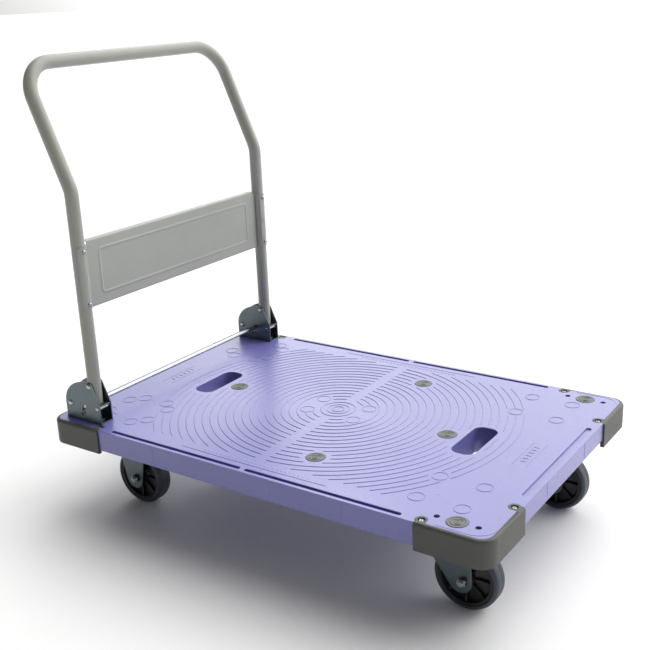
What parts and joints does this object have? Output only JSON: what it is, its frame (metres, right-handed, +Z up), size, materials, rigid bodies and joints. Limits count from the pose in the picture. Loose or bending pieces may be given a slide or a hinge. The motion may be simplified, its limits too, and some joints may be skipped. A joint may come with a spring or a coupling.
{
  "type": "folding platform cart",
  "caption": "Folding platform cart: moulded resin deck with corner bumpers, folding tubular push handle with steel panel, fixed and swivel casters.",
  "frame": {"origin": "on the floor under the centre of the cart's outline with the handle upright", "axes": "+X from the handle end to the front end, +Y to the left for someone pushing, +Z up"},
  "size_m": [0.9425, 0.61, 0.8699],
  "materials": {
    "deck_resin": "moulded resin, satin",
    "bumper_rubber": "soft corner rubber",
    "bright_steel": "bright plated",
    "pad_rubber": "soft pad",
    "handle_paint": "powder coat",
    "panel_paint": "powder coat",
    "zinc_steel": "zinc plated pressing",
    "hub_nylon": "moulded nylon",
    "tyre_rubber": "solid elastic rubber",
    "insert_brass": "turned"
  },
  "bodies": {
    "cart": {"deck": "deck_resin", "bumper_front_left": "bumper_rubber", "bumper_front_right": "bumper_rubber", "bumper_rear_left": "bumper_rubber", "bumper_rear_right": "bumper_rubber", "bumper_screws": "bright_steel", "grip_pads": "pad_rubber", "bracket_left": "zinc_steel", "bracket_right": "zinc_steel", "bracket_bolts": "bright_steel", "bracket_nuts": "bright_steel", "pivot_pins": "bright_steel", "stop_pins": "bright_steel", "spacer_rivets": "bright_steel", "latch_springs": "bright_steel", "fixed_fork_left": "zinc_steel", "fixed_sleeve_left": "bright_steel", "fixed_axle_left": "bright_steel", "fixed_nut_left": "bright_steel", "fixed_fork_right": "zinc_steel", "fixed_sleeve_right": "bright_steel", "fixed_axle_right": "bright_steel", "fixed_nut_right": "bright_steel", "swivel_plate_left": "zinc_steel", "kingpin_left": "bright_steel", "swivel_plate_right": "zinc_steel", "kingpin_right": "bright_steel", "caster_bolts": "bright_steel", "caster_inserts": "insert_brass"},
    "handle": {"handle_tube": "handle_paint", "handle_panel": "panel_paint", "panel_screws": "bright_steel"},
    "latch": {"latch_rod": "bright_steel"},
    "swivel_left": {"swivel_fork_left": "zinc_steel", "swivel_sleeve_left": "bright_steel", "swivel_axle_left": "bright_steel", "swivel_nut_left": "bright_steel", "swivel_balls_left": "bright_steel"},
    "fixed_wheel_left": {"fixed_hub_left": "hub_nylon", "fixed_tyre_left": "tyre_rubber"},
    "swivel_wheel_left": {"swivel_hub_left": "hub_nylon", "swivel_tyre_left": "tyre_rubber"},
    "swivel_right": {"swivel_fork_right": "zinc_steel", "swivel_sleeve_right": "bright_steel", "swivel_axle_right": "bright_steel", "swivel_nut_right": "bright_steel", "swivel_balls_right": "bright_steel"},
    "fixed_wheel_right": {"fixed_hub_right": "hub_nylon", "fixed_tyre_right": "tyre_rubber"},
    "swivel_wheel_right": {"swivel_hub_right": "hub_nylon", "swivel_tyre_right": "tyre_rubber"}
  },
  "joints": [
    {"name": "handle_fold", "type": "hinge", "parent": "cart", "child": "handle", "pos_m": [-0.3637, 0, 0.27], "axis": [0, 1, 0], "range_deg": [0, 99]},
    {"name": "latch_release", "type": "slide", "parent": "cart", "child": "latch", "axis": [-0.3677, 0, -0.93], "range_m": [0, 0.01301], "stiffness_N_per_m": 400, "springref_m": -0.01, "deforming": ["latch_springs"]},
    {"name": "swivel_left_turn", "type": "hinge", "parent": "cart", "child": "swivel_left", "pos_m": [0.3503, 0.191, 0.14], "axis": [0, 0, 1], "continuous": true},
    {"name": "swivel_wheel_left_spin", "type": "hinge", "parent": "swivel_left", "child": "swivel_wheel_left", "pos_m": [0.3833, 0.191, 0.0575], "axis": [0, 1, 0], "continuous": true},
    {"name": "fixed_wheel_left_spin", "type": "hinge", "parent": "cart", "child": "fixed_wheel_left", "pos_m": [-0.3327, 0.191, 0.0575], "axis": [0, 1, 0], "continuous": true},
    {"name": "swivel_right_turn", "type": "hinge", "parent": "cart", "child": "swivel_right", "pos_m": [0.3503, -0.191, 0.14], "axis": [0, 0, 1], "continuous": true},
    {"name": "swivel_wheel_right_spin", "type": "hinge", "parent": "swivel_right", "child": "swivel_wheel_right", "pos_m": [0.3833, -0.191, 0.0575], "axis": [0, 1, 0], "continuous": true},
    {"name": "fixed_wheel_right_spin", "type": "hinge", "parent": "cart", "child": "fixed_wheel_right", "pos_m": [-0.3327, -0.191, 0.0575], "axis": [0, 1, 0], "continuous": true}
  ],
  "couplings": [
    {"joint": "latch_release", "follows": "handle_fold", "m_per_rad": 0.0075237}
  ]
}
